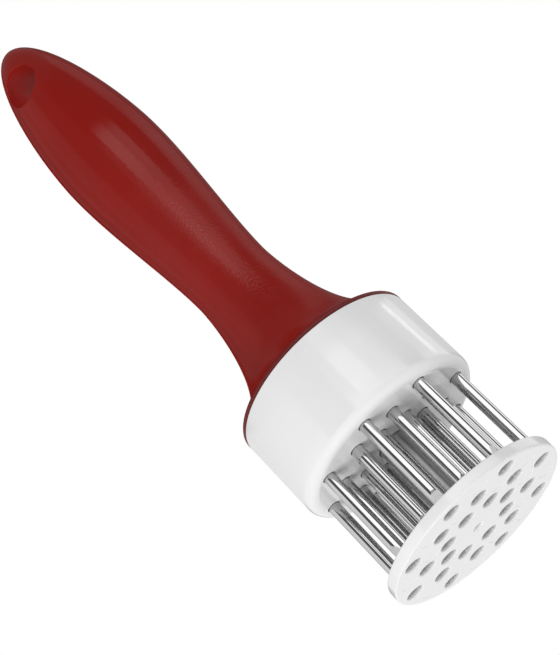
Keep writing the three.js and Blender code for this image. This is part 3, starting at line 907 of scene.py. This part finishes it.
class TENDERIZER_OT_guard(bpy.types.Operator):
    """The white guard disc with its clearance holes, gate mark, collar and spigot"""

    bl_idname = "tenderizer.guard"
    bl_label = "Guard disc"

    def execute(self, context):
        s = context.scene.tenderizer_guard
        low, top, outer = guard_low.z, guard_low.z + s.thickness, guard_high.x
        collar = top + s.collar_height
        groove = top - s.groove_depth
        bm = bmesh.new()
        turn(bm, [
            *arc(outer - s.lower_round, low + s.lower_round, s.lower_round, -math.pi / 2, count=10),
            *arc(outer - s.upper_round, top - s.upper_round, s.upper_round, 0.0, count=6),
        ], s.steps)
        turn(bm, [(0.0, low + s.dimple_depth), (s.dimple_radius / 2, low + s.dimple_depth),
                  (s.dimple_radius, low)], s.dimple_steps)
        # The gate mark's faces take the matt white, with painted shade in its hollow
        for face in bm.faces:
            if face.calc_center_median().xy.length < s.dimple_radius:
                face.material_index = 2
        turn(bm, [
            (s.collar_foot, top),
            (s.collar_radius, top + s.collar_height / 2),
            (s.collar_top, collar),
            (s.groove_radius, collar),
            (s.groove_radius, groove),
            (s.spigot_radius, groove),
            (s.spigot_radius, guard_high.z - s.spigot_chamfer),
            (s.spigot_radius - s.spigot_chamfer, guard_high.z),
            (0.0, guard_high.z),
        ], s.post_steps)
        edge = s.hole_edge
        for node in ALL_PINS:
            known = set(bm.faces)
            turn(bm, [*reversed(arc(s.hole_radius + edge, low + edge, edge, math.pi, count=5)),
                      *reversed(arc(s.hole_radius + edge, top - edge, edge, math.pi / 2, count=5))],
                 s.hole_steps, centre=centre_of(node).xy)
            # The straight wall faces take the matt white with painted shade
            for face in set(bm.faces) - known:
                if low + edge / 2 < face.calc_center_median().z < top - edge:
                    face.material_index = 1
        for place in ejector_places():
            turn(bm, [(0.0, low + s.ejector_depth), (s.hole_radius - s.ejector_depth, low + s.ejector_depth),
                      (s.hole_radius, low)], s.hole_steps, centre=place.xy)
        cap(bm, low, DOWN)
        cap(bm, top, UP)
        piece = finished(bm, "guard_plate", gloss_white(context), "guard", ["guard_disc"])
        # Slot 1 for the hole walls and slot 2 for the gate mark, each with painted shade over its own depth
        for reach in (s.hole_painted_shade_depth, s.dimple_depth):
            piece.data.materials.append(matt_white_painted_shade(context.scene.tenderizer_head, reach))
        return {"FINISHED"}


class TENDERIZER_OT_plunger(bpy.types.Operator):
    """The steel tube that the guard slides on"""

    bl_idname = "tenderizer.plunger"
    bl_label = "Plunger tube"

    def execute(self, context):
        s = context.scene.tenderizer_guard
        outer, edge = tube_high.x, s.tube_edge
        inner = outer - s.tube_wall
        bm = bmesh.new()
        turn(bm, [
            (inner, tube_low.z + edge), (inner + edge, tube_low.z),
            (outer - edge, tube_low.z), (outer, tube_low.z + edge),
            (outer, tube_high.z - edge), (outer - edge, tube_high.z),
            (inner + edge, tube_high.z), (inner, tube_high.z - edge),
        ], s.tube_steps, closed=True)
        finished(bm, "plunger_sleeve", tube_steel(), "guard", ["plunger_tube"])
        return {"FINISHED"}


class TENDERIZER_OT_spring(bpy.types.Operator):
    """The return spring, wound as one wire with a closed turn at each end"""

    bl_idname = "tenderizer.spring"
    bl_label = "Return spring"

    def execute(self, context):
        s = context.scene.tenderizer_guard
        wire = s.wire / 2
        mean = spring_high.x - wire
        height = spring_high.z - spring_low.z - s.wire
        open_rise = (height - 2 * s.closed_pitch) / s.turns
        bm = bmesh.new()
        place = Matrix.Translation((mean, 0.0, spring_low.z + wire)) @ Matrix.Rotation(math.pi / 2, 4, "X")
        made = bmesh.ops.create_circle(bm, cap_ends=True, segments=10, radius=wire, matrix=place)
        faces = list(dict.fromkeys(face for vert in made["verts"] for face in vert.link_faces))
        for turns, rise in ((1, s.closed_pitch), (s.turns, open_rise), (1, s.closed_pitch)):
            wound = spun(bm, parts_of(faces), TAU * turns, s.wire_steps * turns, rise=rise / s.wire_steps)
            faces = [g for g in wound["geom_last"] if isinstance(g, bmesh.types.BMFace)]
        piece = finished(bm, "spring_wire", screw_steel(), None, ["return_spring"])
        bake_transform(piece)
        return {"FINISHED"}


NYLON_PIECES = ("backing_plate", "guide_bush", "plunger_core")
PLATED_PIECES = ("plate_screw", "stop_washer", "stop_screw")


class TENDERIZER_OT_inner(bpy.types.Operator):
    """Finishes for the inner pieces, whose frame shapes are kept"""

    bl_idname = "tenderizer.inner"
    bl_label = "Inner pieces"

    def execute(self, context):
        for names, material in ((NYLON_PIECES, grey_nylon()), (PLATED_PIECES, screw_steel())):
            for name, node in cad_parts.items():
                if name.startswith(names):
                    node.data.materials.clear()
                    node.data.materials.append(material)
        return {"FINISHED"}


# The stage


def towards(azimuth, elevation):
    """A metre in the direction with an azimuth and an elevation in degrees."""
    flat, steep = math.radians(azimuth), math.radians(elevation)
    return Vector((math.cos(flat) * math.cos(steep), math.sin(flat) * math.cos(steep), math.sin(steep)))


def hidden_lamp(name, data, place):
    """Stands a lamp at a place, and hides it from the camera and from reflections."""
    made = bpy.data.objects.new(name, data)
    made.location = place
    made.visible_camera = False
    made.visible_glossy = False
    bpy.context.scene.collection.objects.link(made)
    return made


def soft_lamp(name, strength, size, place, aim):
    """A square lamp of a brightness, where 1 is white."""
    data = bpy.data.lights.new(name, "AREA")
    data.size = size
    data.energy = strength * math.pi * size * size
    made = hidden_lamp(name, data, place)
    made.rotation_euler = (aim - place).to_track_quat("-Z", "Y").to_euler()


def small_lamp(name, strength, reach, place):
    """A small round lamp that lights what is at its reach to a brightness, where 1 is white."""
    data = bpy.data.lights.new(name, "POINT")
    data.shadow_soft_size = reach / 4
    data.energy = strength * (TAU * reach) ** 2
    hidden_lamp(name, data, place)


def wired(tree, kind, *sources, **settings):
    """Adds a node with its settings, and links sources into its first inputs."""
    made = tree.nodes.new(kind)
    for name, value in settings.items():
        setattr(made, name, value)
    for source, target in zip(sources, made.inputs):
        tree.links.new(source, target)
    return made


def bare_tree(owner):
    """The emptied node tree of a material or a world."""
    owner.use_nodes = True
    owner.node_tree.nodes.clear()
    return owner.node_tree


# Shares of the even light by height, from straight below at 0 to straight above at 1
SKY = ((0.0, 0.4), (0.12, 0.4), (0.2, 1.0), (0.45, 1.0), (0.55, 0.85), (1.0, 0.85))


def world_light(ambient_level):
    """White to the camera, reflections and transmission. To all else a plain light, shared out by SKY."""
    world = bpy.data.worlds.new("studio")
    bpy.context.scene.world = world
    tree = bare_tree(world)
    seen = wired(tree, "ShaderNodeLightPath").outputs
    either = wired(tree, "ShaderNodeMath", seen["Is Camera Ray"], seen["Is Glossy Ray"], operation="MAXIMUM")
    any_of_three = wired(tree, "ShaderNodeMath", either.outputs[0], seen["Is Transmission Ray"],
                         operation="MAXIMUM")
    upright = wired(tree, "ShaderNodeSeparateXYZ", wired(tree, "ShaderNodeTexCoord").outputs["Generated"])
    height = wired(tree, "ShaderNodeMapRange", upright.outputs["Z"])
    height.inputs["From Min"].default_value = -1.0
    ramp = wired(tree, "ShaderNodeValToRGB", height.outputs["Result"])
    for place, _ in SKY[1:-1]:
        ramp.color_ramp.elements.new(place)
    for element, (place, level) in zip(ramp.color_ramp.elements, SKY):
        element.position = place
        element.color = (level, level, level, 1.0)
    ambient = wired(tree, "ShaderNodeBackground", ramp.outputs["Color"])
    ambient.inputs["Strength"].default_value = ambient_level
    white = wired(tree, "ShaderNodeBackground")
    white.inputs["Color"].default_value = (1.0, 1.0, 1.0, 1.0)
    white.inputs["Strength"].default_value = 1.0
    mix = wired(tree, "ShaderNodeMixShader", any_of_three.outputs[0], ambient.outputs[0], white.outputs[0])
    wired(tree, "ShaderNodeOutputWorld", mix.outputs[0])


# Azimuths in degrees, where one reflector or flag ends and the next begins
CARD_EDGES = (-180.0, -150.0, -110.0, -70.0, -57.0, -33.0, -12.0, -2.0, 22.0, 39.0, 46.0, 60.0, 100.0, 150.0,
              180.0)
# The card on the far side, which keeps the handle's silhouette red
REDDISH = (0.2, 0.012, 0.009)
# Each band's lower and upper height in metres, and its brightness between each two azimuths
CARD_BANDS = (
    (-0.05, 0.07, (0.9,) * 14),
    (0.07, 0.14, (1.1, 1.2, 0.15, 2.0, 2.1, 2.0, 1.8, 0.05, 1.5, 1.5, 1.5, 0.4, 0.25, 0.9)),
    (0.14, 0.213, (0.7, 0.7, 0.2, 0.8, 2.7, 1.5, 1.0, 0.5, 1.05, 2.8, 1.3, 0.65, 0.8, 0.75)),
    (0.213, 0.245, (0.35, 0.5, 0.4, 0.75, 1.05, 0.9, 0.5, 0.35, 0.4, 0.36, 0.26, 0.1, REDDISH, 0.12)),
    (0.245, 0.325, (0.28, 0.42, 0.22, 0.45, 1.6, 1.05, 0.2, 0.15, 0.5, 0.45, 0.32, 0.12, REDDISH, 0.12)),
    (0.325, 0.355, (0.25, 0.4, 0.2, 0.25, 1.35, 0.85, 0.1, 0.1, 0.42, 0.38, 0.28, 0.11, REDDISH, 0.12)),
    (0.355, 0.38, (0.25, 0.4, 0.2, 0.15, 0.65, 0.3, 0.1, 0.1, 0.36, 0.33, 0.25, 0.1, REDDISH, 0.12)),
    (0.38, 0.65, (0.24, 0.35, 0.18, 0.1, 0.1, 0.1, 0.1, 0.1, 0.3, 0.28, 0.22, 0.09, REDDISH, 0.12)),
)
# The brightness of the lid that lies over them
LID = 0.17
# About how many degrees one face of a card spans
CARD_STEP = 3


def glow(level):
    """The material of a reflector or flag, by its brightness or its colour."""
    tone = level if isinstance(level, tuple) else (level,) * 3
    material = bpy.data.materials.new("card")
    tree = bare_tree(material)
    made = wired(tree, "ShaderNodeEmission")
    made.inputs["Color"].default_value = (*tone, 1.0)
    wired(tree, "ShaderNodeOutputMaterial", made.outputs[0])
    return material


def reflector_cards(radius):
    """Reflectors and flags that stand round the object and lie over it. Only reflections show them."""
    bm = bmesh.new()
    levels = list(dict.fromkeys([LID, *(level for band in CARD_BANDS for level in band[2])]))
    for low, high, row in CARD_BANDS:
        for start, end, level in zip(CARD_EDGES, CARD_EDGES[1:], row):
            turned = Matrix.Rotation(math.radians(start), 4, "Z")
            verts = [bm.verts.new(turned @ Vector((radius, 0.0, z))) for z in (low, high)]
            edge = bm.edges.new(verts)
            known = len(bm.faces)
            spun(bm, [*verts, edge], math.radians(end - start), max(int((end - start) / CARD_STEP), 2))
            for face in bm.faces[:][known:]:
                face.material_index = levels.index(level)
    top = CARD_BANDS[-1][1]
    lid = bmesh.ops.create_circle(bm, cap_ends=True, segments=48, radius=radius,
                                  matrix=Matrix.Translation((0.0, 0.0, top)))
    for face in {face for vert in lid["verts"] for face in vert.link_faces}:
        face.material_index = levels.index(LID)
    mesh = bpy.data.meshes.new("cards")
    bm.to_mesh(mesh)
    bm.free()
    for level in levels:
        mesh.materials.append(glow(level))
    made = bpy.data.objects.new("cards", mesh)
    made.visible_camera = False
    made.visible_diffuse = False
    made.visible_transmission = False
    made.visible_volume_scatter = False
    made.visible_shadow = False
    bpy.context.scene.collection.objects.link(made)


def floor_material(tone, lift):
    """White with soft shadows where the camera sees it from above. Clear from below, and to all light."""
    material = bpy.data.materials.new("pale floor")
    tree = bare_tree(material)
    side = wired(tree, "ShaderNodeNewGeometry")
    seen = wired(tree, "ShaderNodeLightPath")
    shown = wired(tree, "ShaderNodeMath", seen.outputs["Is Camera Ray"], side.outputs["Backfacing"],
                  operation="SUBTRACT", use_clamp=True)
    pale = wired(tree, "ShaderNodeBsdfDiffuse")
    pale.inputs["Color"].default_value = (*tone, 1.0)
    lifted = wired(tree, "ShaderNodeEmission")
    lifted.inputs["Strength"].default_value = lift
    both = wired(tree, "ShaderNodeAddShader", pale.outputs[0], lifted.outputs[0])
    clear = wired(tree, "ShaderNodeBsdfTransparent")
    mix = wired(tree, "ShaderNodeMixShader", shown.outputs[0], clear.outputs[0], both.outputs[0])
    wired(tree, "ShaderNodeOutputMaterial", mix.outputs[0])
    return material


class TENDERIZER_OT_stage(bpy.types.Operator):
    """The camera, the pale floor and the soft studio light"""

    bl_idname = "tenderizer.stage"
    bl_label = "Stage"

    def execute(self, context):
        s = context.scene.tenderizer_stage
        scene = context.scene
        scene.view_settings.view_transform = "Standard"

        data = bpy.data.cameras.new("camera")
        data.lens = s.lens
        data.sensor_width = 36.0
        data.clip_start = 0.01
        camera = bpy.data.objects.new("camera", data)
        camera.location = s.camera_place
        camera.rotation_euler = s.camera_turn
        scene.collection.objects.link(camera)
        scene.camera = camera

        bm = bmesh.new()
        bmesh.ops.create_grid(bm, x_segments=1, y_segments=1, size=s.floor_size / 2)
        bmesh.ops.translate(bm, verts=bm.verts, vec=(0.0, 0.0, guard_low.z - s.floor_drop))
        mesh = bpy.data.meshes.new("floor")
        bm.to_mesh(mesh)
        bm.free()
        mesh.materials.append(floor_material(s.floor_tone, s.floor_lift))
        floor = bpy.data.objects.new("floor", mesh)
        floor.visible_shadow = False
        scene.collection.objects.link(floor)

        world_light(s.ambient)
        reflector_cards(s.card_distance)
        aim = Vector((0.0, 0.0, s.aim_height))
        soft_lamp("low fill", s.low_fill, s.low_fill_size, aim + towards(-122.0, -55.0), aim)
        soft_lamp("front fill", s.front_fill, s.front_fill_size, aim + towards(-48.0, 5.0), aim)
        handle = scene.tenderizer_handle
        in_hole = Vector((0.0, -s.hole_light_shift, handle_high.z - handle.hole_drop))
        small_lamp("hole light", s.hole_light, handle.hole_half_width, in_hole)
        return {"FINISHED"}


# The add-on's panel and registration


OPERATORS = (
    TENDERIZER_OT_stage,
    TENDERIZER_OT_handle,
    TENDERIZER_OT_head,
    TENDERIZER_OT_pins,
    TENDERIZER_OT_guard,
    TENDERIZER_OT_plunger,
    TENDERIZER_OT_spring,
    TENDERIZER_OT_inner,
)


class TENDERIZER_PT_panel(bpy.types.Panel):
    """Sizes and colours of the tenderizer, and a button for each piece"""

    bl_idname = "TENDERIZER_PT_panel"
    bl_label = "Tenderizer"
    bl_space_type = "VIEW_3D"
    bl_region_type = "UI"
    bl_category = "Tenderizer"

    def draw(self, context):
        column = self.layout.column()
        for operator in OPERATORS:
            column.operator(operator.bl_idname)
        for name, group in GROUPS.items():
            box = self.layout.box()
            settings = getattr(context.scene, name)
            for key in group.__annotations__:
                box.prop(settings, key)


CLASSES = (*GROUPS.values(), *OPERATORS, TENDERIZER_PT_panel)


def register():
    for cls in CLASSES:
        bpy.utils.register_class(cls)
    for name, group in GROUPS.items():
        setattr(bpy.types.Scene, name, PointerProperty(type=group))


def unregister():
    for name in GROUPS:
        delattr(bpy.types.Scene, name)
    for cls in reversed(CLASSES):
        bpy.utils.unregister_class(cls)


def main():
    register()
    for operator in OPERATORS:
        area, name = operator.bl_idname.split(".")
        getattr(getattr(bpy.ops, area), name)()


if __name__ == "__main__":
    main()
